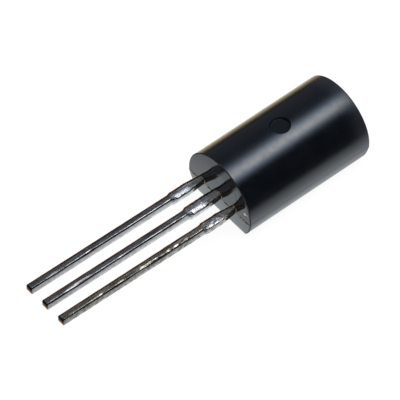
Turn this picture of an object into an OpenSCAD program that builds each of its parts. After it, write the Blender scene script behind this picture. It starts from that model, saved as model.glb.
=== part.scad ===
// Long-body TO-92 transistor: a moulded body with one flat side and a round back, three
// stamped leads in a row, and the chip that they serve. All sizes are in millimetres.
// The flat side lies on Z = 0, the leads point along -X, and the round back faces +Z.

/* [Moulded body] */
// Width of the body across the round back
body_w = 4.9; // [4.5:0.1:5.3]
// Length of the body in the direction of the leads
body_len = 8.1; // [7.4:0.1:8.8]
// Depth of the front half of the mould, from the flat side to the parting line
front_d = 1.3; // [1.1:0.05:1.5]
// Height of the axis of the round back above the parting line
axis_rise = 0.25; // [0.15:0.05:0.4]
// Draft of the front half at both ends, in degrees
front_draft = 6; // [2:1:8]
// Radius along the rims of the round back
rim_r = 0.06; // [0.03:0.01:0.1]

/* [Ejector mark] */
// Diameter of the ejector-pin mark where it meets the crest of the back
mark_d = 1.15; // [0.8:0.05:1.5]
// Depth of the mark below the crest
mark_depth = 0.15; // [0.1:0.01:0.2]
// Slope of the wall of the mark, in degrees from upright
mark_slope = 22; // [10:1:30]

/* [Gate mark] */
// Width of the broken gate on the end away from the leads
gate_w = 0.9; // [0.6:0.1:1.2]
// Height of the broken gate above the parting line
gate_h = 0.28; // [0.2:0.02:0.4]
// How far the broken gate stands proud of the end
gate_proud = 0.05; // [0.03:0.01:0.08]

/* [Leads] */
// Distance between the centre lines of neighbouring leads
pitch = 1.27; // [1.22:0.01:1.32]
// Thickness of the sheet that the leads are stamped from
lead_t = 0.4; // [0.35:0.01:0.45]
// Width of a lead below its shoulder
lead_w = 0.46; // [0.4:0.01:0.5]
// Length of a lead from the body to its tip
lead_len = 11.3; // [9:0.1:14]
// Radius of the rolled edges of a lead
lead_edge_r = 0.05; // [0.03:0.01:0.08]

/* [Necks and dam bar] */
// Width of the two outer leads where the dam bar was cut
stub_w = 0.58; // [0.54:0.01:0.62]
// Width of the middle lead where the dam bar was cut
mid_stub_w = 0.66; // [0.62:0.01:0.72]
// How far a lead draws in at each side between the body and the dam bar
neck_inset = 0.05; // [0.03:0.01:0.08]
// Length of a lead from the body to the cut dam bar
neck_len = 0.8; // [0.6:0.05:1]
// Run of the slanting edges from the neck to the dam bar
neck_run = 0.2; // [0.1:0.01:0.3]
// Length of the cut dam bar along the lead
dam_len = 1.0; // [0.8:0.05:1.2]
// Run of the sloping shoulders below the dam bar
shoulder_run = 0.2; // [0.1:0.01:0.25]

/* [Lead frame inside the body] */
// Distance from the face of the body to the bond posts
post_inset = 0.5; // [0.4:0.05:0.7]
// Length of a bond post along the body
post_len = 0.85; // [0.7:0.05:1]
// Width of a bond post
post_w = 1.0; // [0.8:0.05:1.1]
// Clear gap between the bond posts and the chip pad
frame_gap = 0.3; // [0.2:0.05:0.4]
// Length of the pad that carries the chip
paddle_len = 3.0; // [2.6:0.1:3.4]
// Width of the pad that carries the chip
paddle_w = 2.6; // [2.2:0.1:3]
// Diameter of the hole that locks the pad into the moulding
lock_d = 0.7; // [0.5:0.05:0.9]
// Distance from the far edge of the pad to the centre of the lock hole
lock_inset = 0.75; // [0.6:0.05:0.9]

/* [Chip and bond wires] */
// Side of the square chip
die_side = 0.9; // [0.7:0.05:1.1]
// Thickness of the chip
die_t = 0.2; // [0.15:0.01:0.25]
// Distance from the near edge of the pad to the centre of the chip
die_inset = 0.95; // [0.85:0.05:1.1]
// Thickness of the solder under the chip
attach_t = 0.03; // [0.02:0.005:0.04]
// Width of the solder that shows all round the chip
attach_rim = 0.06; // [0.03:0.01:0.1]
// Diameter of the bond wires
wire_d = 0.05; // [0.03:0.005:0.07]
// Distance of the bonding spots from the centre of the chip, both ways
bond_offset = 0.2; // [0.15:0.01:0.25]
// Height of the loop of a wire above the straight line between its ends
loop_h = 0.4; // [0.3:0.02:0.6]

/* [Hidden] */
$fn = 96;

// Round back: its radius, and the heights of its axis and of its crest above the flat side
back_r = body_w / 2;
axis_z = front_d + axis_rise;
crest_z = axis_z + back_r;

// Face of the body that the leads come out of
seat_x = -body_len / 2;
front_shrink = front_d * tan(front_draft);

// The lead frame lies on the parting line, in the back half of the mould
frame_z = front_d;
frame_top = frame_z + lead_t;

// Places along the body of the posts, the pad and the chip
post_x = seat_x + post_inset;
paddle_x = post_x + post_len + frame_gap;
die_x = paddle_x + die_inset;
lock_x = paddle_x + paddle_len - lock_inset;

// Heights of the chip
die_z = frame_top + attach_t;
die_top = die_z + die_t;

// The chip is wired to the middle of each post
emitter_y = -pitch;
base_y = pitch;
wire_foot_x = post_x + post_len / 2;
ball_d = 2.2 * wire_d;
ball_h = 0.8 * wire_d;
stitch_d = 2.4 * wire_d;
stitch_h = 0.3 * wire_d;

// Margin by which a cutting shape passes the face that it cuts
cut_margin = 0.5;

body_colour = [0.07, 0.08, 0.10];
lead_colour = [0.66, 0.65, 0.62];
chip_colour = [0.35, 0.38, 0.45];
solder_colour = [0.55, 0.56, 0.58];
wire_colour = [0.90, 0.72, 0.30];

// Rectangle with rounded corners, centred on the origin
module rounded_rectangle(w, h, r) {
    square([w - 2 * r, h], center = true);
    square([w, h - 2 * r], center = true);
    for (x = [-1, 1], y = [-1, 1])
        translate([x * (w / 2 - r), y * (h / 2 - r)])
            circle(r);
}

// Turns a shape drawn across the body, so that X, Y and Z become Y, Z and X
module across() {
    rotate([90, 0, 90])
        children();
}

// Half of the outline seen from above, for turning round the axis of the back
module back_profile() {
    intersection() {
        rounded_rectangle(body_w, body_len, rim_r);
        translate([0, -body_len / 2])
            square([back_r, body_len]);
    }
}

// Back half of the moulding: half a cylinder on a short straight wall, so that it leaves the mould
module back_half() {
    translate([0, 0, axis_z])
        across()
            rotate_extrude(angle = 180)
                back_profile();
    translate([0, 0, front_d])
        linear_extrude(axis_rise)
            rounded_rectangle(body_len, body_w, rim_r);
}

// Front half of the moulding: the round of the back carries on to the flat side, which cuts it off
module front_half() {
    intersection() {
        translate([seat_x, 0, axis_z])
            across()
                cylinder(r = back_r, h = body_len);
        translate([0, back_r, 0])
            rotate([90, 0, 0])
                linear_extrude(body_w)
                    polygon([[seat_x + front_shrink, 0], [-seat_x - front_shrink, 0],
                             [-seat_x, front_d], [seat_x, front_d]]);
        linear_extrude(front_d)
            rounded_rectangle(body_len, body_w, rim_r);
    }
}

// Shallow round dent that the ejector pin leaves in the crest of the back
module ejector_mark() {
    floor_r = mark_d / 2 - mark_depth * tan(mark_slope);
    mouth_r = mark_d / 2 + cut_margin * tan(mark_slope);
    translate([0, 0, crest_z - mark_depth])
        cylinder(r1 = floor_r, r2 = mouth_r, h = mark_depth + cut_margin);
}

// Stub of the broken gate on the far end, just above the parting line
module gate_mark() {
    translate([-seat_x - rim_r, -gate_w / 2, front_d])
        cube([rim_r + gate_proud, gate_w, gate_h]);
}

// Straight bar of the lead frame from x0 to x1, with rolled edges
module rolled_bar(x0, x1, w) {
    translate([x0, 0, frame_z + lead_t / 2])
        across()
            linear_extrude(x1 - x0)
                rounded_rectangle(w, lead_t, lead_edge_r);
}

// Widest part of a lead, left where the dam bar was cut, with a slant at each end
module dam_block(w) {
    neck_x = seat_x - neck_len;
    shoulder_x = neck_x - neck_run - dam_len;
    outline = [
        [neck_x, w / 2 - neck_inset],
        [neck_x - neck_run, w / 2],
        [shoulder_x, w / 2],
        [shoulder_x - shoulder_run, lead_w / 2]
    ];
    translate([0, 0, frame_z])
        linear_extrude(lead_t)
            polygon(concat(outline, [for (i = [3:-1:0]) [outline[i][0], -outline[i][1]]]));
}

// Part of a lead outside the body, and its neck as far as inner_x inside
module outer_lead(w, inner_x) {
    rolled_bar(seat_x - lead_len, seat_x - neck_len - neck_run - dam_len - shoulder_run, lead_w);
    dam_block(w);
    rolled_bar(seat_x - neck_len, inner_x, w - 2 * neck_inset);
}

// Lead with a bond post inside the body, centred on y
module post_lead(y) {
    translate([0, y, 0]) {
        outer_lead(stub_w, post_x);
        translate([post_x, -post_w / 2, frame_z])
            cube([post_len, post_w, lead_t]);
    }
}

// Middle lead, which widens into the pad under the chip
module paddle_lead() {
    outer_lead(mid_stub_w, paddle_x);
    difference() {
        translate([paddle_x, -paddle_w / 2, frame_z])
            cube([paddle_len, paddle_w, lead_t]);
        translate([lock_x, 0, frame_z - cut_margin])
            cylinder(d = lock_d, h = lead_t + 2 * cut_margin);
    }
}

// Bond wire from a spot on the chip to a post: a ball, a loop that is one arc, and a stitch.
// The loop is drawn on the straight line between its ends and cut off at the face of the post.
module bond_wire(spot, foot) {
    run = foot - spot;
    span = norm(run);
    drop = die_top + ball_h / 2 - frame_top;
    chord = norm([span, drop]);
    half_angle = 2 * atan(2 * loop_h / chord);
    loop_r = chord / (2 * sin(half_angle));
    landing = atan(wire_d / loop_r);
    translate([spot[0], spot[1], 0])
        rotate([0, 0, atan2(run[1], run[0])]) {
            translate([0, 0, die_top])
                cylinder(d = ball_d, h = ball_h);
            difference() {
                translate([span / 2, 0, frame_top + drop / 2])
                    rotate([0, atan2(drop, span), 0])
                        translate([0, 0, loop_h - loop_r])
                            rotate([90, 0, 0])
                                rotate_extrude(angle = 2 * half_angle + landing,
                                               start = 90 - half_angle - landing)
                                    translate([loop_r, 0])
                                        circle(d = wire_d);
                translate([0, -wire_d, frame_top - cut_margin])
                    cube([span + cut_margin, 2 * wire_d, cut_margin]);
            }
            translate([span, 0, frame_top])
                cylinder(d = stitch_d, h = stitch_h);
        }
}

module emitter_lead() {
    color(lead_colour)
        post_lead(emitter_y);
}

module collector_lead() {
    color(lead_colour)
        paddle_lead();
}

module base_lead() {
    color(lead_colour)
        post_lead(base_y);
}

module die_attach() {
    attach_side = die_side + 2 * attach_rim;
    color(solder_colour)
        translate([die_x - attach_side / 2, -attach_side / 2, frame_top])
            cube([attach_side, attach_side, attach_t]);
}

module die() {
    color(chip_colour)
        translate([die_x - die_side / 2, -die_side / 2, die_z])
            cube([die_side, die_side, die_t]);
}

module emitter_wire() {
    color(wire_colour)
        bond_wire([die_x - bond_offset, -bond_offset], [wire_foot_x, emitter_y]);
}

module base_wire() {
    color(wire_colour)
        bond_wire([die_x - bond_offset, bond_offset], [wire_foot_x, base_y]);
}

// The moulding closes round the lead frame, the chip and the wires, face to face
module body() {
    color(body_colour)
        difference() {
            union() {
                back_half();
                front_half();
                gate_mark();
            }
            ejector_mark();
            emitter_lead();
            collector_lead();
            base_lead();
            die_attach();
            die();
            emitter_wire();
            base_wire();
        }
}

body();
emitter_lead();
collector_lead();
base_lead();
die_attach();
die();
emitter_wire();
base_wire();
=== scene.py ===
import math

import bmesh
import bpy
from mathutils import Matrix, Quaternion, Vector, noise


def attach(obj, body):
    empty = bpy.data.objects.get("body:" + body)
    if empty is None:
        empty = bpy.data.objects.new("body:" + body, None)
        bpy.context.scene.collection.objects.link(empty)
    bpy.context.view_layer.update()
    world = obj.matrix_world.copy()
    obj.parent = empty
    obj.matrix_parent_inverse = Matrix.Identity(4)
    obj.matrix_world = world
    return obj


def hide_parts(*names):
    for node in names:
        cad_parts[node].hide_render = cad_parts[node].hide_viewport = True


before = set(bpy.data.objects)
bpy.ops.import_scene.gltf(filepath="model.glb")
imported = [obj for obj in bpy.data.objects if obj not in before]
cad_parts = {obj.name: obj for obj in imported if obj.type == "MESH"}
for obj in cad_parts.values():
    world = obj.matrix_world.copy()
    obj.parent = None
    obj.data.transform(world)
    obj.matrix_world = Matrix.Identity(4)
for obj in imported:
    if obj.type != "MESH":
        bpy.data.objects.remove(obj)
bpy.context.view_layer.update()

# Lengths are in millimetres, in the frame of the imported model. MM turns them into metres.
MM = 0.001

# Moulded body
BODY_LEN = 8.1
FACE_X = -BODY_LEN / 2
BACK_R = 2.45
PARTING_Z = 1.3
AXIS_RISE = 0.25
AXIS_Z = PARTING_Z + AXIS_RISE
FRONT_DRAFT = math.radians(6)
RIM_R = 0.05
CORNER_R = 0.1
# The back falls away a little over its last stretch at the far end
END_FALL = 0.012
FALL_RUN = 0.7
# Faces along half of the back, half of the front's round, its blend into the flat side, a rim and
# the fall at the far end
BACK_STEPS = 120
FRONT_STEPS = 24
CORNER_STEPS = 8
RIM_STEPS = 4
FALL_STEPS = 8
# Places of the plain rings between the ends, close together beside the ejector mark
PLAIN_RINGS = (-2.8, -1.8, -0.85, -0.6, 0.6, 0.85, 1.8, 2.8)
# Material slots of the moulding; the mark's wall paints shade in its recess, the dimple's slot
# paints its highlight
BACK_SKIN, FACE_SKIN, MARK_WALL, DIMPLE_HIGHLIGHT, WORN_RIM = range(5)

# Ejector mark in the back: its radius at the crest, and the lean of its wall from upright
MARK_R = 0.575
MARK_DEPTH = 0.15
MARK_SLOPE = math.radians(22)
MARK_FOOT_R = 0.035
MARK_DOME = 0.004
MARK_STEPS = 96
FOOT_STEPS = 6
# A face of the mark whose direction has less Z than this belongs to its wall
WALL_LEAN = 0.985

# Broken gate on the far end. A fractal is given as exponent, lacunarity and octaves.
GATE_W = 0.9
GATE_H = 0.28
GATE_PROUD = 0.05
GATE_ROOT = 0.03
GATE_RIM_SHARE = 0.55
GATE_FRACTAL = (0.8, 2.2, 3)
GATE_COLUMNS = 24
GATE_ROWS = 9

# Small marks on the end that the leads leave: a ringed dimple as (radius, depth) from its middle
# out, and a scratch as (y, z) points with its three-cornered section as (x, y) points
DIMPLE_Y = -2.08
DIMPLE_Z = 1.86
DIMPLE_R = 0.2
DIMPLE_PROFILE = (
    (0.0, 0.006),
    (0.03, 0.013),
    (0.07, 0.004),
    (0.11, 0.015),
    (0.15, 0.005),
    (0.19, -0.02),
)
DIMPLE_STEPS = 40
SCRATCH = ((-1.18, 2.88), (-1.2, 2.78), (-1.27, 2.66), (-1.31, 2.52), (-1.37, 2.38))
SCRATCH_SECTION = ((-0.03, 0.034), (-0.03, -0.034), (0.035, 0.0))

# Leads: pitch, section and length, and the stretches of neck, dam bar and shoulder from the body
PITCH = 1.27
LEAD_T = 0.4
LEAD_W = 0.46
LEAD_LEN = 11.3
STUB_W = 0.58
MID_STUB_W = 0.66
NECK_LEN = 0.8
NECK_RUN = 0.2
DAM_LEN = 1.0
SHOULDER_RUN = 0.2
DAM_START = NECK_LEN + NECK_RUN
DAM_END = DAM_START + DAM_LEN
LEAD_Z = PARTING_Z + LEAD_T / 2
# Place of the lead frame in the mould, and drift of a lead for each millimetre from the body
SHIFT_Y = 0.085
SHIFT_Z = 0.04
SPLAY_Y = 0.0105
SPLAY_Z = 0.0065
# Share of stub and of dam bar along a lead, as (distance from the body, share)
ON_STUB = ((DAM_END - 0.05, 1.0), (DAM_END + SHOULDER_RUN, 0.0))
ON_DAM = ((DAM_START - 0.2, 0.0), (DAM_START, 1.0), (DAM_END - 0.15, 1.0), (DAM_END, 0.0))
# Radii of the section's corners: upper -Y on the thin part and on the stub, upper +Y, and lower
THIN_ROLL = 0.095
STUB_ROLL = 0.05
HIGH_ROLL = 0.08
FOOT_R = 0.03
LEAST_R = 0.006
# How far the -Y side of the thin part leans in at its top
SIDE_DRAFT = 0.07
# Fall of the upper face toward -Y, everywhere and on the cut dam bar: it starts at these places
# across the lead, in half widths from its middle
THIN_CROWN = 0.006
THIN_CROWN_FROM = 0.25
DAM_CROWN_FROM = -0.12
DAM_CROWN_POWER = 1.5
# Tilt of the dents that catch the light, and the place across the lead where they all end
DENT_TILT = 0.07
DENT_END = -0.6
# Unevenness of a lead everywhere, and what its stub has more: (size, how far it is drawn out)
ALL_GRAIN = (0.14, 3.0)
STUB_GRAIN = (0.11, 1.5)
LEAD_FRACTAL = (0.9, 2.1, 3)
# How far a lead wanders sideways
WANDER = 0.006
# Faces round each corner of a section and along each of its sides
TURNS = 7
FLATS = 7
# Lengthwise: step between sections, the first behind the tip, and the depth of the last in the body
STATION_STEP = 0.04
FIRST_STATION = 0.15
ROOT_DEPTH = 0.12
# Rounding of a lead's tip, as (distance from the tip, inset)
TIP_ROUND = ((0.0, 0.09), (0.007, 0.055), (0.02, 0.028), (0.042, 0.01), (0.075, 0.0))
# The stretch at the tip that is dressed as cut, and where the stub's own look ends
CUT_LEN = 0.08
STUB_LOOK_END = DAM_END + 0.1
# Material slots of a lead; the last one paints lines of shade along its upper corners
THIN_FACE, STUB_FACE, SHEARED, COPPER, CUT_END, SHADE_LINE = range(6)

# What sets each lead apart. necks: how much narrower it is at the body, on its -Y and +Y side.
# rough: depth of its unevenness everywhere, and of what its stub has more. dam_crown: fall of its
# face on the dam bar. worn: dull and brown, as the lead nearest the camera is. dents: (distance
# from the body, half length, width in half widths of the lead).
LEADS = {
    "emitter_lead": {
        "y": -PITCH,
        "stub_w": STUB_W,
        "necks": (0.15, 0.12),
        "seed": 11.0,
        "rough": (0.006, 0.017),
        "dam_crown": 0.048,
        "worn": True,
        "dents": (
            (8.7, 0.2, 0.2),
            (7.4, 0.3, 0.25),
            (5.75, 0.55, 0.4),
            (5.15, 0.13, 0.3),
            (4.35, 0.2, 0.4),
            (3.85, 0.2, 0.35),
            (3.2, 0.17, 0.35),
        ),
    },
    "collector_lead": {
        "y": 0.0,
        "stub_w": MID_STUB_W,
        "necks": (0.08, 0.02),
        "seed": 23.0,
        "rough": (0.003, 0.014),
        "dam_crown": 0.105,
        "worn": False,
        "dents": (
            (10.6, 0.4, 0.16),
            (9.15, 1.0, 0.45),
            (6.35, 0.25, 0.12),
            (2.95, 0.2, 0.12),
        ),
    },
    "base_lead": {
        "y": PITCH,
        "stub_w": STUB_W,
        "necks": (0.1, 0.1),
        "seed": 37.0,
        "rough": (0.002, 0.013),
        "dam_crown": 0.094,
        "worn": False,
        "dents": (
            (9.65, 0.6, 0.25),
            (7.45, 0.25, 0.14),
        ),
    },
}

# Resin flash along the parting line, beside the leads and between them: (from y, to y, seed)
FLASHES = {
    "flash_1": (-2.42, -PITCH - 0.27, 2.0),
    "flash_2": (-PITCH + 0.27, -0.31, 5.0),
    "flash_3": (0.33, PITCH - 0.25, 9.0),
    "flash_4": (PITCH + 0.3, 2.42, 14.0),
}
FLASH_STEP = 0.03
# How far the flash stands out and half its height, each with what it gains where it swells
FLASH_PROUD, PROUD_GAIN = 0.008, 0.034
FLASH_HALF, HALF_GAIN = 0.018, 0.05
# Resin collars round the roots of the leads: (lead, seed)
COLLARS = {
    "emitter_collar": ("emitter_lead", 3.0),
    "collector_collar": ("collector_lead", 6.0),
    "base_collar": ("base_lead", 1.0),
}
COLLAR_STEPS = 48
# Rings of a collar, as (x from the body's end, share of its thickness), with its thickness and the
# stretch of its x, each with what it gains where the resin swells
COLLAR_RINGS = ((0.02, 1.0), (-0.008, 0.95), (-0.022, 0.5), (-0.045, 0.12), (-0.06, -0.12))
COLLAR_THICK, THICK_GAIN = 0.006, 0.07
COLLAR_STRETCH, STRETCH_GAIN = 0.3, 1.5


# ---------------------------------------------------------------- node helpers

class Graph:
    """A node tree, with short ways to add nodes and to link them."""

    def __init__(self, owner):
        owner.use_nodes = True
        self.tree = owner.node_tree
        self.tree.nodes.clear()

    def node(self, kind, inputs=None, **settings):
        made = self.tree.nodes.new(kind)
        for name, value in settings.items():
            setattr(made, name, value)
        for name, value in (inputs or {}).items():
            self.feed(made, name, value)
        return made

    def feed(self, node, name, value):
        """Links a socket to the node's input, or sets the input to a plain value."""
        if isinstance(value, bpy.types.NodeSocket):
            self.tree.links.new(value, node.inputs[name])
        else:
            node.inputs[name].default_value = value

    def math(self, operation, a, b=0.0):
        return self.node("ShaderNodeMath", {0: a, 1: b}, operation=operation).outputs[0]

    def add(self, a, b):
        return self.math("ADD", a, b)

    def subtract(self, a, b):
        return self.math("SUBTRACT", a, b)

    def multiply(self, a, b):
        return self.math("MULTIPLY", a, b)

    def divide(self, a, b):
        return self.math("DIVIDE", a, b)

    def power(self, a, b):
        return self.math("POWER", a, b)

    def decay(self, amount):
        """1 where amount is 0, falling toward 0 as it grows."""
        return self.power(math.e, self.multiply(amount, -1.0))

    def ramp(self, value, low, high, to_low=0.0, to_high=1.0):
        """Smooth step from to_low to to_high as the value goes from low to high."""
        made = self.node("ShaderNodeMapRange", {
            "Value": value,
            "From Min": low,
            "From Max": high,
            "To Min": to_low,
            "To Max": to_high,
        }, interpolation_type="SMOOTHSTEP")
        return made.outputs["Result"]

    def ramp_mm(self, place, low_mm, high_mm, to_low=0.0, to_high=1.0):
        """The same between two places in millimetres."""
        return self.ramp(place, low_mm * MM, high_mm * MM, to_low, to_high)

    def mix_colour(self, factor, a, b):
        made = self.node("ShaderNodeMix", {"Factor": factor}, data_type="RGBA")
        self.feed(made, 6, a)
        self.feed(made, 7, b)
        return made.outputs[2]

    def coordinate(self, axis, space="Object"):
        """X, Y or Z of the shaded point: metres in object space, or a direction in a world."""
        place = self.node("ShaderNodeTexCoord").outputs[space]
        return self.node("ShaderNodeSeparateXYZ", {0: place}).outputs[axis]

    def grain(self, size_mm, detail=3.0, roughness=0.55, stretch=(1, 1, 1), seed=0.0):
        """Noise whose features are about size_mm across, longer along X where stretch says so."""
        place = self.node("ShaderNodeTexCoord").outputs["Object"]
        spot = self.node("ShaderNodeMapping", {
            "Vector": place,
            "Scale": [1 / (size_mm * MM * s) for s in stretch],
            "Location": (seed, seed, seed),
        })
        made = self.node("ShaderNodeTexNoise", {
            "Vector": spot.outputs[0],
            "Scale": 1.0,
            "Detail": detail,
            "Roughness": roughness,
        })
        return made.outputs["Fac"]

    def ragged(self, place, size_mm, reach_mm, detail, seed):
        """The place moved to and fro by noise, by up to half of reach_mm each way."""
        sway = self.subtract(self.grain(size_mm, detail=detail, seed=seed), 0.5)
        return self.add(place, self.multiply(sway, reach_mm * MM))

    def bump(self, height, depth_mm, under=None):
        made = self.node("ShaderNodeBump", {"Height": height, "Distance": depth_mm * MM})
        if under is not None:
            self.feed(made, "Normal", under)
        return made.outputs["Normal"]

    def emission(self, colour, strength):
        return self.node("ShaderNodeEmission", {"Color": colour, "Strength": strength}).outputs[0]

    def by_ray(self, plain, mirrored, seen):
        """Shader that soft light, mirror-like surfaces and the camera each meet as their own."""
        path = self.node("ShaderNodeLightPath")
        glossy, through = path.outputs["Is Glossy Ray"], path.outputs["Is Transmission Ray"]
        shiny = self.math("MAXIMUM", glossy, through)
        unseen = self.mix_shader(shiny, plain, mirrored)
        return self.mix_shader(path.outputs["Is Camera Ray"], unseen, seen)

    def mix_shader(self, factor, a, b):
        return self.node("ShaderNodeMixShader", {0: factor, 1: a, 2: b}).outputs[0]

    def finish_surface(self, shader):
        out = self.node("ShaderNodeOutputMaterial")
        self.tree.links.new(shader, out.inputs["Surface"])

    def principled(self, inputs):
        """Makes one Principled shader with these inputs the whole surface."""
        self.finish_surface(self.node("ShaderNodeBsdfPrincipled", inputs).outputs[0])


def new_material(name):
    material = bpy.data.materials.new(name)
    return material, Graph(material)


# ---------------------------------------------------------------- materials

def epoxy(name, rough_low, rough_high):
    """Black moulding compound: glossy, very finely grained, and lighter and duller toward the far
    end.
    """
    material, g = new_material(name)
    blue_black = (0.0020, 0.0032, 0.0054, 1)
    soft_black = (0.0032, 0.0045, 0.0070, 1)
    far_end_grey = (0.017, 0.019, 0.026, 1)
    cloud = g.ramp(g.grain(1.6, detail=2.0, seed=3.0), 0.35, 0.65)
    black = g.mix_colour(cloud, blue_black, soft_black)
    # Toward the far end the colour turns lighter grey and the surface rougher
    far_end = g.ramp_mm(g.ragged(g.coordinate("X"), 0.8, 0.5, detail=1.0, seed=31.0), 2.3, 4.15)
    far_end_weight = g.power(far_end, 2.4)
    rough = g.ramp(g.grain(0.35, detail=3.0, seed=5.0), 0.3, 0.7, rough_low, rough_high)
    waves = g.bump(g.grain(2.2, detail=1.0, seed=9.0), 0.004)
    g.principled({
        "Base Color": g.mix_colour(far_end_weight, black, far_end_grey),
        "IOR": 1.57,
        "Specular Tint": (0.9, 0.95, 1.0, 1),
        "Roughness": g.add(rough, g.multiply(far_end_weight, 0.12)),
        "Normal": g.bump(g.grain(0.09, detail=4.0, seed=1.0), 0.0006, under=waves),
    })
    return material


def resin(name, dark, light, size_mm, roughness, bump_mm):
    """Moulding compound without the moulded skin, as where it broke or crept out.

    It also paints shade on the ejector mark's wall and a highlight in the dimple.
    """
    material, g = new_material(name)
    blotch = g.ramp(g.grain(size_mm, detail=3.0, seed=8.0), 0.5, 0.62)
    g.principled({
        "Base Color": g.mix_colour(blotch, dark, light),
        "Roughness": roughness,
        "IOR": 1.5,
        "Normal": g.bump(g.grain(0.03), bump_mm),
    })
    return material


def near_body(g, reach):
    """Ragged mask of a darker brown on the leads, up to reach mm from the body."""
    place = g.ragged(g.coordinate("X"), 0.14, 0.9, detail=3.0, seed=21.0)
    return g.ramp_mm(place, FACE_X - reach, FACE_X - reach * 0.8)


def tin(name, dark, light, rough_low, rough_high, pit_size, pit_depth, stain, metallic):
    """Tin plating drawn along the lead: streaks, small pits and a little brown oxide."""
    material, g = new_material(name)
    oxide = (0.16, 0.12, 0.08, 1)
    near_body_brown = (0.09, 0.055, 0.02, 1)
    streak = g.grain(0.05, detail=4.0, stretch=(22, 1, 1), seed=2.0)
    specks = g.grain(pit_size * 0.7, detail=2.0, seed=13.0)
    pits = g.grain(pit_size, detail=3.0, stretch=(2.2, 1, 1), seed=4.0)
    blotch = g.grain(0.16, detail=3.0, stretch=(2.6, 1, 1), seed=7.0)
    mixed = g.add(g.multiply(streak, 0.65), g.multiply(specks, 0.35))
    metal = g.mix_colour(g.ramp(mixed, 0.4, 0.6), dark, light)
    stained = g.mix_colour(g.ramp(blotch, 0.5, 0.72, 0.0, stain), metal, oxide)
    near_body_share = near_body(g, 0.9)
    g.principled({
        "Base Color": g.mix_colour(g.multiply(near_body_share, 0.12), stained, near_body_brown),
        "Metallic": g.subtract(metallic, g.multiply(near_body_share, 0.18)),
        "Roughness": g.ramp(blotch, 0.35, 0.65, rough_low, rough_high),
        "Normal": g.bump(pits, pit_depth, under=g.bump(streak, 0.0008)),
    })
    return material


def sheared_tin(name, thin, wide, dirt):
    """Sheared side of a lead, thin and wide being its colours beyond and on the stub.

    It is streaked and mottled, greyer near its top, and dark on the shoulder's upper part.
    """
    material, g = new_material(name)
    black = (0, 0, 0, 1)
    upper_grey = (0.2, 0.19, 0.19, 1)
    mottle_grey = (0.13, 0.12, 0.11, 1)
    dent_grey = (0.05, 0.05, 0.05, 1)
    near_body_brown = (0.05, 0.028, 0.012, 1)
    x, z = g.coordinate("X"), g.coordinate("Z")
    dam_x = FACE_X - DAM_END
    streak = g.grain(0.05, detail=4.0, stretch=(12, 1, 1), seed=6.0)
    mottle = g.grain(0.11, detail=4.0, roughness=0.65, stretch=(2.2, 1, 1), seed=16.0)
    base = g.mix_colour(g.ramp_mm(x, dam_x - 0.25, dam_x + 0.05), thin, wide)
    grey = g.mix_colour(g.ramp(streak, 0.4, 0.6, 0.82, 1.0), black, base)
    grey = g.mix_colour(g.multiply(g.ramp_mm(z, 1.36, 1.64), 0.55), grey, upper_grey)
    grey = g.mix_colour(g.ramp(mottle, 0.44, 0.57, 0.0, dirt), grey, mottle_grey)
    from_shoulder = g.divide(g.subtract(x, (dam_x - 0.1) * MM), 0.1 * MM)
    shoulder = g.decay(g.multiply(from_shoulder, from_shoulder))
    shoulder = g.multiply(shoulder, g.ramp_mm(z, 1.52, 1.68, 0.15, 0.95))
    dented = g.mix_colour(shoulder, grey, dent_grey)
    g.principled({
        "Base Color": g.mix_colour(near_body(g, 0.85), dented, near_body_brown),
        "Metallic": 1.0,
        "Roughness": g.ramp(g.grain(0.2), 0.35, 0.65, 0.1, 0.2),
        "Normal": g.bump(streak, 0.001),
    })
    return material


def cut_copper(name):
    """Cut end of a lead: bare copper that turns dark toward the tinned upper face."""
    material, g = new_material(name)
    bright = (0.75, 0.27, 0.025, 1)
    dull = (0.4, 0.1, 0.012, 1)
    smeared = (0.015, 0.02, 0.022, 1)
    copper_mix = g.mix_colour(g.ramp(g.grain(0.05), 0.3, 0.7, 0.0, 0.35), bright, dull)
    g.principled({
        "Base Color": g.mix_colour(g.ramp_mm(g.coordinate("Z"), 1.45, 1.72), copper_mix, smeared),
        "Metallic": 1.0,
        "Roughness": 0.42,
    })
    return material


def bare_copper(name, dark, light, reach):
    """Copper where the tin did not reach: patchy, and a darker brown close to the body."""
    material, g = new_material(name)
    near_body_brown = (0.05, 0.035, 0.025, 1)
    patch = g.ramp(g.grain(0.12, detail=4.0, stretch=(5, 1, 1), seed=17.0), 0.35, 0.65)
    metal = g.mix_colour(patch, dark, light)
    g.principled({
        "Base Color": g.mix_colour(near_body(g, reach), metal, near_body_brown),
        "Metallic": 1.0,
        "Roughness": 0.33,
    })
    return material


def plain_metal(name, dark, light, roughness, size_mm):
    """Clouded metal for what lies inside the moulding."""
    material, g = new_material(name)
    g.principled({
        "Base Color": g.mix_colour(g.ramp(g.grain(size_mm), 0.3, 0.7), dark, light),
        "Metallic": 1.0,
        "Roughness": roughness,
    })
    return material


# ---------------------------------------------------------------- mesh helpers

def mesh_object(name, points_mm, faces, materials=(), face_slots=None):
    """Smooth-shaded object at the origin, with its points given in millimetres."""
    mesh = bpy.data.meshes.new(name)
    mesh.from_pydata([[c * MM for c in p] for p in points_mm], [], faces)
    mesh.validate()
    for material in materials:
        mesh.materials.append(material)
    if face_slots is not None:
        mesh.polygons.foreach_set("material_index", face_slots)
    mesh.polygons.foreach_set("use_smooth", [True] * len(mesh.polygons))
    piece = bpy.data.objects.new(name, mesh)
    bpy.context.scene.collection.objects.link(piece)
    return piece


def closed_object(name, points_mm, faces, materials=(), face_slots=None):
    """A mesh_object that is a closed solid, with every face turned outward."""
    piece = mesh_object(name, points_mm, faces, materials, face_slots)
    turned = bmesh.new()
    turned.from_mesh(piece.data)
    bmesh.ops.recalc_face_normals(turned, faces=turned.faces)
    turned.to_mesh(piece.data)
    turned.free()
    return piece


def shade(piece, sharp_angle):
    """Smooth shading that keeps flat faces flat and splits at edges sharper than the angle."""
    piece.data.set_sharp_from_angle(angle=math.radians(sharp_angle))
    weighted = piece.modifiers.new("Weighted normals", "WEIGHTED_NORMAL")
    weighted.keep_sharp = True
    weighted.weight = 60


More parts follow.
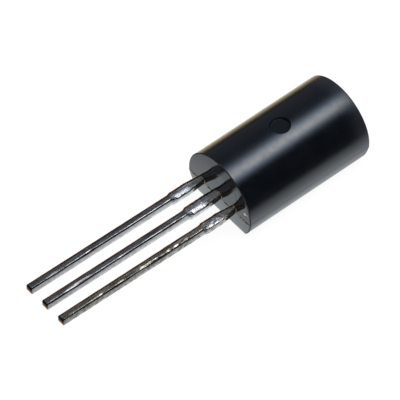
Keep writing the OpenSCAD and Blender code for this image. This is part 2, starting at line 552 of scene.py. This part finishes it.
def cut(piece, cutter):
    """Takes the cutter out of the piece and deletes the cutter."""
    boolean = piece.modifiers.new("Cut", "BOOLEAN")
    boolean.operation = "DIFFERENCE"
    boolean.solver = "EXACT"
    boolean.object = cutter
    bpy.context.view_layer.update()
    shown = piece.evaluated_get(bpy.context.evaluated_depsgraph_get())
    made = bpy.data.meshes.new_from_object(shown)
    piece.modifiers.clear()
    piece.data = made
    bpy.data.objects.remove(cutter)


def ring_faces(rows, count, first=0):
    """Quads between neighbouring rings of count points each, from the point numbered first on."""
    quads = []
    for r in range(rows - 1):
        low = first + r * count
        high = low + count
        for i in range(count):
            j = (i + 1) % count
            quads.append((low + i, low + j, high + j, high + i))
    return quads


def tube_faces(rows, count, first=0):
    """The same, closed by one face over the first ring and one over the last."""
    last = first + (rows - 1) * count
    ends = [tuple(range(first, first + count)), tuple(range(last, last + count))]
    return ring_faces(rows, count, first) + ends


def circle_angles(steps):
    return [2 * math.pi * k / steps for k in range(steps)]


def slope(x, knots):
    """Straight-line value at x between (x, value) knots, level beyond the first and the last."""
    if x <= knots[0][0]:
        return knots[0][1]
    for (x0, v0), (x1, v1) in zip(knots, knots[1:]):
        if x <= x1:
            return v0 + (v1 - v0) * (x - x0) / (x1 - x0)
    return knots[-1][1]


# ---------------------------------------------------------------- moulded body

def body_section():
    """Outline of the moulding across its length: points (y, z), each with its outward direction."""
    half = []
    for k in range(BACK_STEPS + 1):
        a = math.pi / 2 * k / BACK_STEPS
        out_y, out_z = -math.sin(a), math.cos(a)
        half.append((BACK_R * out_y, AXIS_Z + BACK_R * out_z, out_y, out_z))
    half.append((-BACK_R, (AXIS_Z + PARTING_Z) / 2, -1, 0))
    half.append((-BACK_R, PARTING_Z, -1, 0))
    half += front_arc()
    half.append((half[-1][0] / 2, 0, 0, -1))
    mirrored = [(-y, z, -out_y, out_z) for y, z, out_y, out_z in reversed(half[1:])]
    return half + [(0, 0, 0, -1)] + mirrored


def front_arc():
    """The round of the front half from the parting line down, and its blend into the flat side."""
    inner_r = BACK_R - CORNER_R
    first = math.asin(AXIS_RISE / BACK_R)
    last = math.asin((AXIS_Z - CORNER_R) / inner_r)
    arc = []
    for k in range(FRONT_STEPS + 1):
        a = first + (last - first) * k / FRONT_STEPS
        out_y, out_z = -math.cos(a), -math.sin(a)
        arc.append((BACK_R * out_y, AXIS_Z + BACK_R * out_z, out_y, out_z))
    centre_y = -inner_r * math.cos(last)
    for k in range(1, CORNER_STEPS + 1):
        a = last + (math.pi / 2 - last) * k / CORNER_STEPS
        out_y, out_z = -math.cos(a), -math.sin(a)
        arc.append((centre_y + CORNER_R * out_y, CORNER_R + CORNER_R * out_z, out_y, out_z))
    return arc


def end_reach(z):
    """How far the end of the moulding stands from its middle at that height."""
    below = max(0.0, PARTING_Z - z)
    return BODY_LEN / 2 - below * math.tan(FRONT_DRAFT)


def drawn_in(section, inset):
    """The outline's points moved inward."""
    return [(y - out_y * inset, z - out_z * inset) for y, z, out_y, out_z in section]


def rim_rings(section, side, fall):
    """Rings round one rim, from the face of the end to the full section."""
    rings = []
    for k in range(RIM_STEPS, -1, -1):
        a = math.pi / 2 * k / RIM_STEPS
        inset = RIM_R * (1 - math.cos(a))
        back = RIM_R * (1 - math.sin(a))
        outline = drawn_in(section, inset + fall)
        rings.append([(side * (end_reach(z) - back), y, z) for y, z in outline])
    return rings


def body_rings(section):
    """Rings of points from the -X end to the +X end, round both rims."""
    places = [(x, 0.0) for x in PLAIN_RINGS]
    for k in range(FALL_STEPS):
        share = k / FALL_STEPS
        places.append((BODY_LEN / 2 - FALL_RUN * (1 - share), END_FALL * share ** 2))
    middle = [[(x, y, z) for y, z in drawn_in(section, fall)] for x, fall in places]
    return rim_rings(section, -1, 0.0) + middle + rim_rings(section, 1, END_FALL)[::-1]


def end_faces(points, section, first):
    """One end: its face above the parting line, the drafted one below, and the strip between."""
    # Keeps the order right where rounding puts a point a hair below the parting line
    rounding = 1e-4
    upper = [first + i for i in range(len(section)) if section[i][1] >= PARTING_Z]
    lower = [first + i for i in range(len(section)) if section[i][1] < PARTING_Z]
    upper.sort(key=lambda i: math.atan2(points[i][1], points[i][2] - PARTING_Z + rounding))
    return [tuple(upper), tuple(lower), (upper[0], lower[0], lower[-1], upper[-1])]


def build_body(skins):
    section = body_section()
    rings = body_rings(section)
    count = len(section)
    points = [p for ring in rings for p in ring]
    faces = ring_faces(len(rings), count)
    rim = [WORN_RIM] * (RIM_STEPS * count)
    slots = rim + [BACK_SKIN] * (len(faces) - 2 * len(rim)) + rim
    for first in (0, (len(rings) - 1) * count):
        ends = end_faces(points, section, first)
        faces += ends
        slots += [FACE_SKIN] * len(ends)
    return closed_object("moulding", points, faces, skins, slots)


def mark_profile():
    """Section (radius, z) of the ejector mark: a slightly domed floor, a round foot and a wall."""
    crest = AXIS_Z + BACK_R
    floor_z = crest - MARK_DEPTH
    wall = math.tan(MARK_SLOPE)
    floor_r = MARK_R - MARK_DEPTH * wall
    above = 0.4
    profile = [(0.0, floor_z + MARK_DOME), (floor_r * 0.55, floor_z + MARK_DOME * 0.75)]
    for k in range(FOOT_STEPS + 1):
        a = (math.pi / 2 - MARK_SLOPE) * k / FOOT_STEPS
        r = floor_r - MARK_FOOT_R * 0.7 + MARK_FOOT_R * math.sin(a)
        profile.append((r, floor_z + MARK_FOOT_R * (1 - math.cos(a))))
    profile.append((MARK_R + above * wall, crest + above))
    profile.append((0.0, crest + above))
    return profile


def build_mark_cutter():
    """Cutter for the ejector mark: its section turned about the Z axis."""
    profile = mark_profile()
    points = [(0, 0, profile[0][1])]
    for r, z in profile[1:-1]:
        points += [(r * math.cos(a), r * math.sin(a), z) for a in circle_angles(MARK_STEPS)]
    points.append((0, 0, profile[-1][1]))
    rows = len(profile) - 2
    last = 1 + (rows - 1) * MARK_STEPS
    faces = ring_faces(rows, MARK_STEPS, first=1)
    faces += [(0, 1 + (k + 1) % MARK_STEPS, 1 + k) for k in range(MARK_STEPS)]
    faces += [(len(points) - 1, last + k, last + (k + 1) % MARK_STEPS) for k in range(MARK_STEPS)]
    return closed_object("mark_cutter", points, faces)


def build_face_cutter():
    """Cutter for the small ringed dimple and the thin scratch on the end that the leads leave."""
    least_r = 1e-3
    points = []
    for r, deep in DIMPLE_PROFILE:
        for a in circle_angles(DIMPLE_STEPS):
            y = DIMPLE_Y + (r + least_r) * math.cos(a)
            z = DIMPLE_Z + (r + least_r) * math.sin(a)
            points.append((FACE_X + deep, y, z))
    faces = tube_faces(len(DIMPLE_PROFILE), DIMPLE_STEPS)
    faces += tube_faces(len(SCRATCH), len(SCRATCH_SECTION), first=len(points))
    for y, z in SCRATCH:
        points += [(FACE_X + dx, y + dy, z) for dx, dy in SCRATCH_SECTION]
    return closed_object("face_cutter", points, faces)


def dress_cuts(body):
    """Gives the wall and floor of the ejector mark, and the dimple, their own materials: painted
    shade on the wall, a painted highlight in the dimple.
    """
    below_skin = 0.005
    below_face = 0.001
    deepest = 0.1
    for face in body.data.polygons:
        x, y, z = face.center / MM
        over_mark = math.hypot(x, y) < MARK_R and z > AXIS_Z
        in_mark = over_mark and math.hypot(y, z - AXIS_Z) < BACK_R - below_skin
        over_dimple = math.hypot(y - DIMPLE_Y, z - DIMPLE_Z) < DIMPLE_R
        in_dimple = over_dimple and FACE_X + below_face < x < FACE_X + deepest
        if in_mark:
            face.material_index = MARK_WALL if face.normal.z < WALL_LEAN else FACE_SKIN
        elif in_dimple:
            face.material_index = DIMPLE_HIGHLIGHT


def true_round_back(body):
    """Gives the back the exact normals of its round, which the cut of the mark had disturbed."""
    mesh = body.data
    near = 0.01
    normals = [Vector(corner.vector) for corner in mesh.corner_normals]
    for face in mesh.polygons:
        x, y, z = face.center / MM
        on_back = z > AXIS_Z and abs(math.hypot(y, z - AXIS_Z) - BACK_R) < near
        level = -BODY_LEN / 2 + RIM_R < x < BODY_LEN / 2 - FALL_RUN
        if face.material_index == BACK_SKIN and on_back and level:
            for loop in face.loop_indices:
                corner = mesh.vertices[mesh.loops[loop].vertex_index].co / MM
                normals[loop] = Vector((0, corner.y, corner.z - AXIS_Z)).normalized()
    mesh.normals_split_custom_set(normals)


# ---------------------------------------------------------------- leads

def lead_edges(lead, out):
    """The -Y and +Y edges of a lead, from its centre line, at that distance from the body."""
    half_way = 0.5 * NECK_LEN
    left_there = 0.6
    wide = lead["stub_w"] / 2
    low, high = (
        slope(out, (
            (0.0, wide - neck),
            (half_way, wide - neck * left_there),
            (DAM_START, wide),
            (DAM_END, wide),
            (DAM_END + SHOULDER_RUN, LEAD_W / 2),
        ))
        for neck in lead["necks"]
    )
    return -low, high


def rounded_section(low, high, inset, roll):
    """Points (y, z) round a lead, from its upper +Y corner: each corner with the side after it."""
    top = LEAD_T / 2 - inset
    left, right = low + inset, high - inset
    roll_low = max(roll - inset, LEAST_R)
    roll_high = max(HIGH_ROLL - inset, LEAST_R)
    foot = max(FOOT_R - inset, LEAST_R)
    corners = (
        (right - roll_high, top - roll_high, roll_high, 0),
        (left + roll_low, top - roll_low, roll_low, 90),
        (left + foot, foot - top, foot, 180),
        (right - foot, foot - top, foot, 270),
    )
    ring = []
    for (y, z, r, first), (next_y, next_z, next_r, _) in zip(corners, corners[1:] + corners[:1]):
        for t in range(TURNS + 1):
            a = math.radians(first + 90 * t / TURNS)
            ring.append(Vector((y + r * math.cos(a), z + r * math.sin(a))))
        a = math.radians(first + 90)
        side_start = ring[-1]
        side_end = Vector((next_y + next_r * math.cos(a), next_z + next_r * math.sin(a)))
        ring += [side_start.lerp(side_end, t / FLATS) for t in range(1, FLATS)]
    return ring


def stamped_section(low, high, inset, roll, draft, dam_crown, dent):
    """The rounded section with its face falling toward -Y and its -Y side leaning in at the top."""
    middle, half = (low + high) / 2, (high - low) / 2
    shaped = []
    for y, z in rounded_section(low, high, inset, roll):
        height = (z + LEAD_T / 2) / LEAD_T
        away = (y - middle) / half
        fall = THIN_CROWN * max(0.0, THIN_CROWN_FROM - away) ** 2
        fall += dam_crown * max(0.0, DAM_CROWN_FROM - away) ** DAM_CROWN_POWER
        fall += DENT_TILT * min(max(0.0, dent + DENT_END - away), dent)
        shaped.append((y + draft * height ** 2 * max(0.0, -away), z - height * fall))
    return shaped


def unevenness(point, depth, grain, seed):
    """Height of an uneven surface at a point, its grain being (size, how far it is drawn out)."""
    size, stretch = grain
    x, y, z = point
    place = Vector((x / (size * stretch), y / size, z / size))
    offset = Vector((seed, seed * 0.7, seed * 1.3))
    return depth * noise.fractal(place + offset, *LEAD_FRACTAL)


def dent_width(dents, out):
    """Width of the dent at that distance from the body, in half widths, and 0 beside the dents."""
    return max(0.0, *(width * (1 - ((out - place) / half) ** 2) for place, half, width in dents))


def lead_ring(lead, out, inset):
    """Points (x, y, z) round a lead at that distance from the body, uneven and drifted."""
    seed = lead["seed"]
    all_rough, stub_rough = lead["rough"]
    low, high = lead_edges(lead, out)
    on_stub = slope(out, ON_STUB)
    thin_roll = THIN_ROLL * (0.9 + 0.5 * noise.noise(Vector((out * 0.7, seed, 4.0))))
    roll = thin_roll + (STUB_ROLL - thin_roll) * on_stub
    draft = SIDE_DRAFT * (1 - on_stub)
    dam_crown = lead["dam_crown"] * slope(out, ON_DAM)
    dent = dent_width(lead["dents"], out)
    wander = WANDER * noise.noise(Vector((out * 0.9, seed, 0)))
    drift = max(out, 0.0)
    x = FACE_X - out
    ring = []
    for y, z in stamped_section(low, high, inset, roll, draft, dam_crown, dent):
        away = Vector((y - (low + high) / 2, z)).normalized()
        bulge = unevenness((x, y, z), all_rough, ALL_GRAIN, seed)
        bulge += on_stub * unevenness((x, y, z), stub_rough, STUB_GRAIN, seed + 5)
        across = lead["y"] + SHIFT_Y + y + away.x * bulge + wander + drift * SPLAY_Y
        up = LEAD_Z + SHIFT_Z + z + away.y * bulge + drift * SPLAY_Z
        ring.append((x, across, up))
    return ring


def ring_slots(face):
    """Material slots round a lead, in the order of its section's points.

    The upper +Y corner is bare copper from a little above its foot. Then come the upper face with
    a painted shade line along it, the upper -Y corner with a painted shade line in its middle, the
    sheared -Y side, the underside with both lower corners, and the sheared +Y side.
    """
    plus_corner = [SHEARED] * 2 + [COPPER] * (TURNS - 2)
    upper_face = [SHADE_LINE] + [face] * (FLATS - 1)
    minus_corner = [THIN_FACE] * 3 + [SHADE_LINE] * (TURNS - 4) + [THIN_FACE]
    side = [SHEARED] * FLATS
    underside = [face] * (TURNS + FLATS + TURNS)
    return plus_corner + upper_face + minus_corner + side + underside + side


def end_slots():
    """Material slots round the tip: the cut end's own above and at -Y, bare copper for the rest."""
    half = 2 * (TURNS + FLATS)
    return [CUT_END] * half + [COPPER] * half


def lead_stations():
    """Distances from the body and the inset at each, close together at the tip, ending inside."""
    stations = [(LEAD_LEN - back, inset) for back, inset in TIP_ROUND]
    out = LEAD_LEN - FIRST_STATION
    while out > -ROOT_DEPTH:
        stations.append((out, 0.0))
        out -= STATION_STEP
    return stations


def build_lead(name, lead, skins):
    stations = lead_stations()
    count = 4 * (TURNS + FLATS)
    points = [p for out, inset in stations for p in lead_ring(lead, out, inset)]
    faces = tube_faces(len(stations), count)
    slots = []
    for out, _ in stations[1:]:
        if out > LEAD_LEN - CUT_LEN:
            slots += end_slots()
        else:
            slots += ring_slots(STUB_FACE if out < STUB_LOOK_END else THIN_FACE)
    slots += [CUT_END, STUB_FACE]
    made = closed_object(name, points, faces, skins, slots)
    shade(made, sharp_angle=60)
    return made


# ---------------------------------------------------------------- resin

def build_flash(name, y0, y1, seed, material):
    """Thin ragged fin of resin along the parting line on the end that the leads leave."""
    steps = max(6, int((y1 - y0) / FLASH_STEP))
    root_x = FACE_X + 0.01
    points = []
    for k in range(steps + 1):
        y = y0 + (y1 - y0) * k / steps
        from_end = min(k, steps - k) / steps
        swell = 0.5 + 0.5 * noise.noise(Vector((y * 9, seed, 0)))
        proud = (FLASH_PROUD + PROUD_GAIN * swell) * min(1.0, 0.3 + 4 * from_end)
        half = FLASH_HALF + HALF_GAIN * swell
        z = PARTING_Z + 0.01 * noise.noise(Vector((y * 4, seed, 7)))
        points.append((root_x, y, z - half))
        points.append((FACE_X - proud, y, z - half * 0.35))
        points.append((FACE_X - proud * 0.8, y, z + half * 0.3))
        points.append((root_x, y, z + half))
    fin = closed_object(name, points, tube_faces(steps + 1, 4), [material])
    shade(fin, sharp_angle=50)
    return fin


def near_rectangle(a, half_w, half_h):
    """Point at angle a on a rectangle with well rounded corners."""
    squareness = 0.45
    c, s = math.cos(a), math.sin(a)
    across = half_w * math.copysign(abs(c) ** squareness, c)
    return across, half_h * math.copysign(abs(s) ** squareness, s)


def build_collar(name, lead, seed, material):
    """Uneven meniscus of resin that crept out round the root of a lead."""
    low, high = lead_edges(lead, 0.0)
    middle_y = lead["y"] + SHIFT_Y + (low + high) / 2
    half = (high - low) / 2
    points = []
    for dx, share in COLLAR_RINGS:
        for a in circle_angles(COLLAR_STEPS):
            swell = 0.5 + 0.5 * noise.noise(Vector((math.cos(a) * 1.6, math.sin(a) * 1.6, seed)))
            # It crept out less over the lead than beside it and below
            swell *= 1 - 0.8 * max(0.0, math.sin(a)) ** 0.5
            grow = (COLLAR_THICK + THICK_GAIN * swell) * share
            across, up = near_rectangle(a, half + grow, LEAD_T / 2 + grow)
            out = dx * (COLLAR_STRETCH + STRETCH_GAIN * swell) if dx < 0 else dx
            points.append((FACE_X + out, middle_y + across, LEAD_Z + SHIFT_Z + up))
    faces = tube_faces(len(COLLAR_RINGS), COLLAR_STEPS)
    collar = closed_object(name, points, faces, [material])
    shade(collar, sharp_angle=50)
    return collar


def gate_face():
    """Points of the broken face, row by row: crumbled, and lower along its rim."""
    points = []
    for row in range(GATE_ROWS + 1):
        for column in range(GATE_COLUMNS + 1):
            y = -GATE_W / 2 + GATE_W * column / GATE_COLUMNS
            z = PARTING_Z + GATE_H * row / GATE_ROWS
            crumble = 0.5 + 0.5 * noise.fractal(Vector((y * 6, z * 9, 3.0)), *GATE_FRACTAL)
            height = min(1.0, max(0.15, 1.25 * crumble))
            if row in (0, GATE_ROWS) or column in (0, GATE_COLUMNS):
                height *= GATE_RIM_SHARE
            points.append((-FACE_X + GATE_PROUD * height, y, z))
    return points


def gate_rim():
    """Numbers of the face's rim points, in order round it."""
    width = GATE_COLUMNS + 1
    corner = GATE_ROWS * width + GATE_COLUMNS
    rim = list(range(GATE_COLUMNS))
    rim += [row * width + GATE_COLUMNS for row in range(GATE_ROWS)]
    rim += [corner - column for column in range(GATE_COLUMNS)]
    rim += [(GATE_ROWS - row) * width for row in range(GATE_ROWS)]
    return rim


def build_gate_break(material):
    """Rough broken face of the gate on the far end, just above the parting line."""
    width = GATE_COLUMNS + 1
    front = gate_face()
    count = len(front)
    points = front + [(-FACE_X - GATE_ROOT, y, z) for _, y, z in front]
    faces = []
    for first, turn in ((0, 1), (count, -1)):
        for row in range(GATE_ROWS):
            for column in range(GATE_COLUMNS):
                i = first + row * width + column
                faces.append((i, i + 1, i + width + 1, i + width)[::turn])
    rim = gate_rim()
    faces += [(i, j, count + j, count + i) for i, j in zip(rim, rim[1:] + rim[:1])]
    gate = closed_object("gate_break", points, faces, [material])
    shade(gate, sharp_angle=30)
    return gate


# ---------------------------------------------------------------- stage

def square(name, half):
    corners = [(-half, -half, 0), (half, -half, 0), (half, half, 0), (-half, half, 0)]
    return mesh_object(name, corners, [(0, 1, 2, 3)])


def paper_pool(g, x, y):
    """Brightness of the paper in mirrors: a pool under the part, brighter on the body's -Y side."""
    middle_x = -5.6 * MM
    half_length = 20 * MM
    half_width = 7.2 * MM
    across = g.divide(g.math("ABSOLUTE", y), half_width)
    along = g.divide(g.subtract(x, middle_x), half_length)
    pool = g.decay(g.add(g.power(across, 3.0), g.multiply(along, along)))
    body_end = g.ramp_mm(x, -4.2, -3.4, 0.0, 0.4)
    far_end = g.ramp_mm(x, -3.4, 4.5, 0.0, 0.4)
    near_side = g.ramp_mm(y, -3.0, -2.2, 1.0, 0.0)
    lift = g.multiply(g.add(body_end, far_end), near_side)
    return g.multiply(pool, g.add(lift, 1.0))


def paper_strip(g, y):
    """Brightness of the paper that only the far side of the back mirrors, in a strip along it."""
    middle_y = 5.0 * MM
    half_width = 9.5 * MM
    peak = 1.4
    from_middle = g.math("ABSOLUTE", g.subtract(y, middle_y))
    fall = g.decay(g.power(g.divide(from_middle, half_width), 1.3))
    return g.multiply(fall, peak)


def mirrored_paper(g):
    """Emission that mirror-like surfaces meet in place of the paper: bluish, and warm far out."""
    bluish = (0.9, 0.96, 1.0, 1)
    warm = (1.0, 0.8, 0.5, 1)
    least = 0.04
    x, y = g.coordinate("X"), g.coordinate("Y")
    beside = g.multiply(g.ramp_mm(y, 1.4, 2.8), g.ramp_mm(x, -4.2, -3.7))
    light = g.math("MAXIMUM", paper_pool(g, x, y), g.multiply(beside, paper_strip(g, y)))
    warmth = g.multiply(g.ramp_mm(y, 4.0, 7.0), g.ramp_mm(y, 20.0, 35.0, 1.0, 0.0))
    tint = g.mix_colour(g.multiply(beside, warmth), bluish, warm)
    return g.emission(tint, g.add(light, least))


def build_floor():
    """White paper with the part's soft shadow; mirror-like surfaces meet painted light on it."""
    half_size = 1500
    below = 0.004
    floor = square("floor", half_size)
    floor.location.z = -below * MM
    material, g = new_material("Floor")
    glow = g.emission((1, 1, 1, 1), 0.9)
    shadowed = g.node("ShaderNodeBsdfDiffuse", {"Color": (0.16, 0.16, 0.16, 1)}).outputs[0]
    seen = g.node("ShaderNodeAddShader", {0: glow, 1: shadowed}).outputs[0]
    paper = g.node("ShaderNodeBsdfDiffuse", {"Color": (0.85, 0.85, 0.85, 1)}).outputs[0]
    g.finish_surface(g.by_ray(paper, mirrored_paper(g), seen))
    floor.data.materials.append(material)


def build_softbox():
    """Overhead panel that only mirror-like surfaces show: a soft bright patch in a dim sky."""
    half_size = 70
    turn = math.radians(82)
    half_length = 12.5 * MM
    low_half_width = 6.2 * MM
    high_half_width = 8.5 * MM
    peak = 7.9
    white = (1.0, 1.0, 1.0, 1)
    blue = (0.74, 0.88, 1.08, 1)
    panel = square("softbox", half_size)
    panel.location = (26 * MM, -9.6 * MM, 60 * MM)
    material, g = new_material("Softbox")
    x, y = g.coordinate("X"), g.coordinate("Y")
    along = g.add(g.multiply(x, math.cos(turn)), g.multiply(y, math.sin(turn)))
    across = g.subtract(g.multiply(y, math.cos(turn)), g.multiply(x, math.sin(turn)))
    half_width = g.ramp_mm(across, -1.0, 1.0, low_half_width, high_half_width)
    a = g.divide(along, half_length)
    b = g.divide(across, half_width)
    spread = g.add(g.multiply(a, a), g.multiply(b, b))
    patch = g.multiply(g.decay(g.multiply(spread, 0.5)), peak)
    sky = g.ramp_mm(y, -25.0, 15.0, 0.0, 0.16)
    colour = g.mix_colour(g.ramp_mm(g.math("ABSOLUTE", along), 3.0, 20.0), white, blue)
    g.finish_surface(g.emission(colour, g.add(patch, sky)))
    panel.data.materials.append(material)
    panel.visible_camera = False
    panel.visible_diffuse = False
    panel.visible_shadow = False


def build_world():
    """White behind the part, soft even light on it, and a dim room in mirrors, lighter at +Y."""
    world = bpy.data.worlds.new("Studio")
    bpy.context.scene.world = world
    g = Graph(world)
    room_light = g.ramp(g.coordinate("Y", space="Generated"), -0.35, 0.35, 0.012, 0.17)
    white = (1, 1, 1, 1)
    room = g.node("ShaderNodeBackground", {"Color": (0.88, 0.95, 1.1, 1), "Strength": room_light})
    fill = g.node("ShaderNodeBackground", {"Color": white, "Strength": 0.7})
    behind = g.node("ShaderNodeBackground", {"Color": white, "Strength": 1.0})
    out = g.node("ShaderNodeOutputWorld")
    shown = g.by_ray(fill.outputs[0], room.outputs[0], behind.outputs[0])
    g.tree.links.new(shown, out.inputs["Surface"])


def build_lamp():
    """Round overhead lamp that gives the part its soft shadow and doesn't show in mirrors."""
    lamp = bpy.data.lights.new("Overhead lamp", "AREA")
    lamp.shape = "DISK"
    lamp.size = 90 * MM
    lamp.energy = 0.05
    lit = bpy.data.objects.new("Overhead lamp", lamp)
    bpy.context.scene.collection.objects.link(lit)
    lit.location = (15 * MM, -25 * MM, 110 * MM)
    aim = Vector((-5 * MM, 0, 0)) - lit.location
    lit.rotation_euler = aim.to_track_quat("-Z", "Y").to_euler()
    lit.visible_glossy = False


def build_camera():
    """The photo's view, as fitted to the outline of the body and to the leads."""
    azimuth = math.radians(-39.771)
    elevation = math.radians(52.051)
    roll = math.radians(-0.15)
    distance = 220.0
    pixels_per_mm = 19.545
    picture = 400
    target = Vector((-5.026, 0.379, 1.532))
    back = Vector((
        math.sin(azimuth) * math.cos(elevation),
        -math.cos(azimuth) * math.cos(elevation),
        math.sin(elevation),
    ))
    data = bpy.data.cameras.new("Camera")
    data.sensor_width = 36
    data.lens = data.sensor_width * pixels_per_mm * distance / picture
    data.clip_start = 0.01
    data.clip_end = 10
    camera = bpy.data.objects.new("Camera", data)
    bpy.context.scene.collection.objects.link(camera)
    camera.location = (target + back * distance) * MM
    level = (-back).to_track_quat("-Z", "Y")
    camera.rotation_euler = (level @ Quaternion((0, 0, 1), roll)).to_euler()
    bpy.context.scene.camera = camera


# ---------------------------------------------------------------- build

bpy.context.scene.view_settings.view_transform = "Standard"
build_camera()
build_world()
build_lamp()
build_softbox()
build_floor()

back_skin = epoxy("Epoxy back", rough_low=0.17, rough_high=0.23)
face_skin = epoxy("Epoxy face", rough_low=0.09, rough_high=0.13)
# Near-black, matte wall of the ejector mark: painted shade in its recess
mark_wall = resin("Mark wall", dark=(0.0005, 0.0006, 0.001, 1), light=(0.0015, 0.0015, 0.002, 1),
                  size_mm=0.1, roughness=0.75, bump_mm=0.001)
# Light grey in the dimple: a painted highlight
dimple_highlight = resin("Painted dimple highlight", dark=(0.1, 0.105, 0.11, 1), light=(0.8, 0.8, 0.8, 1),
                size_mm=0.12, roughness=0.4, bump_mm=0.002)
worn_rim = resin("Worn rim", dark=(0.006, 0.005, 0.004, 1), light=(0.04, 0.02, 0.006, 1),
                 size_mm=0.3, roughness=0.6, bump_mm=0.001)
moulding = build_body([back_skin, face_skin, mark_wall, dimple_highlight, worn_rim])
cut(moulding, build_mark_cutter())
cut(moulding, build_face_cutter())
dress_cuts(moulding)
moulding.data.set_sharp_from_angle(angle=math.radians(20))
true_round_back(moulding)
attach(moulding, "root")
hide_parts("body")

thin_tin = tin("Tin", dark=(0.15, 0.15, 0.15, 1), light=(0.46, 0.45, 0.45, 1),
               rough_low=0.15, rough_high=0.25, pit_size=0.1, pit_depth=0.001,
               stain=0.25, metallic=0.97)
stub_tin = tin("Tin on stubs", dark=(0.2, 0.2, 0.21, 1), light=(0.62, 0.62, 0.64, 1),
               rough_low=0.24, rough_high=0.36, pit_size=0.07, pit_depth=0.009,
               stain=0.15, metallic=0.88)
worn_tin = tin("Worn tin", dark=(0.12, 0.11, 0.09, 1), light=(0.52, 0.48, 0.42, 1),
               rough_low=0.2, rough_high=0.34, pit_size=0.1, pit_depth=0.004,
               stain=0.5, metallic=0.94)
worn_stub = tin("Worn tin on stubs", dark=(0.14, 0.13, 0.13, 1), light=(0.58, 0.57, 0.56, 1),
                rough_low=0.22, rough_high=0.34, pit_size=0.08, pit_depth=0.011,
                stain=0.4, metallic=0.86)
edge_tin = sheared_tin("Sheared edge", thin=(0.8, 0.78, 0.77, 1), wide=(0.9, 0.88, 0.87, 1),
                       dirt=0.36)
worn_edge = sheared_tin("Worn sheared edge", thin=(0.66, 0.64, 0.6, 1), wide=(0.75, 0.73, 0.71, 1),
                        dirt=0.75)
copper = bare_copper("Bare copper edge", dark=(0.36, 0.11, 0.006, 1), light=(0.75, 0.24, 0.008, 1),
                     reach=1.15)
cut_end = cut_copper("Cut lead end")
# Dark bare copper that paints lines of shade along the upper corners of the leads
shade_line_copper = bare_copper("Painted shade line", dark=(0.08, 0.035, 0.012, 1), light=(0.3, 0.14, 0.04, 1),
                    reach=0.85)
clean_skins = [thin_tin, stub_tin, edge_tin, copper, cut_end, shade_line_copper]
worn_skins = [worn_tin, worn_stub, worn_edge, copper, cut_end, shade_line_copper]
for node, shape in LEADS.items():
    skins = worn_skins if shape["worn"] else clean_skins
    lead = build_lead(node + "_formed", shape, skins)
    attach(lead, "root")
    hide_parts(node)

honey = resin("Resin flash", dark=(0.014, 0.009, 0.005, 1), light=(0.5, 0.26, 0.03, 1),
              size_mm=0.16, roughness=0.3, bump_mm=0.002)
broken = resin("Broken resin", dark=(0.012, 0.012, 0.013, 1), light=(0.05, 0.048, 0.045, 1),
               size_mm=0.08, roughness=0.7, bump_mm=0.006)
resin_pieces = [build_flash(name, y0, y1, seed, honey) for name, (y0, y1, seed) in FLASHES.items()]
for name, (node, seed) in COLLARS.items():
    resin_pieces.append(build_collar(name, LEADS[node], seed, honey))
resin_pieces.append(build_gate_break(broken))
for piece in resin_pieces:
    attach(piece, "root")

gold = plain_metal("Gold wire", dark=(0.75, 0.55, 0.2, 1), light=(0.9, 0.7, 0.3, 1),
                   roughness=0.2, size_mm=0.05)
hidden = {
    "die_attach": plain_metal("Solder", dark=(0.30, 0.31, 0.33, 1), light=(0.5, 0.5, 0.52, 1),
                              roughness=0.4, size_mm=0.1),
    "die": plain_metal("Silicon", dark=(0.10, 0.11, 0.14, 1), light=(0.16, 0.17, 0.20, 1),
                       roughness=0.15, size_mm=0.2),
    "emitter_wire": gold,
    "base_wire": gold,
}
for node, material in hidden.items():
    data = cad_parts[node].data
    data.materials.clear()
    data.materials.append(material)
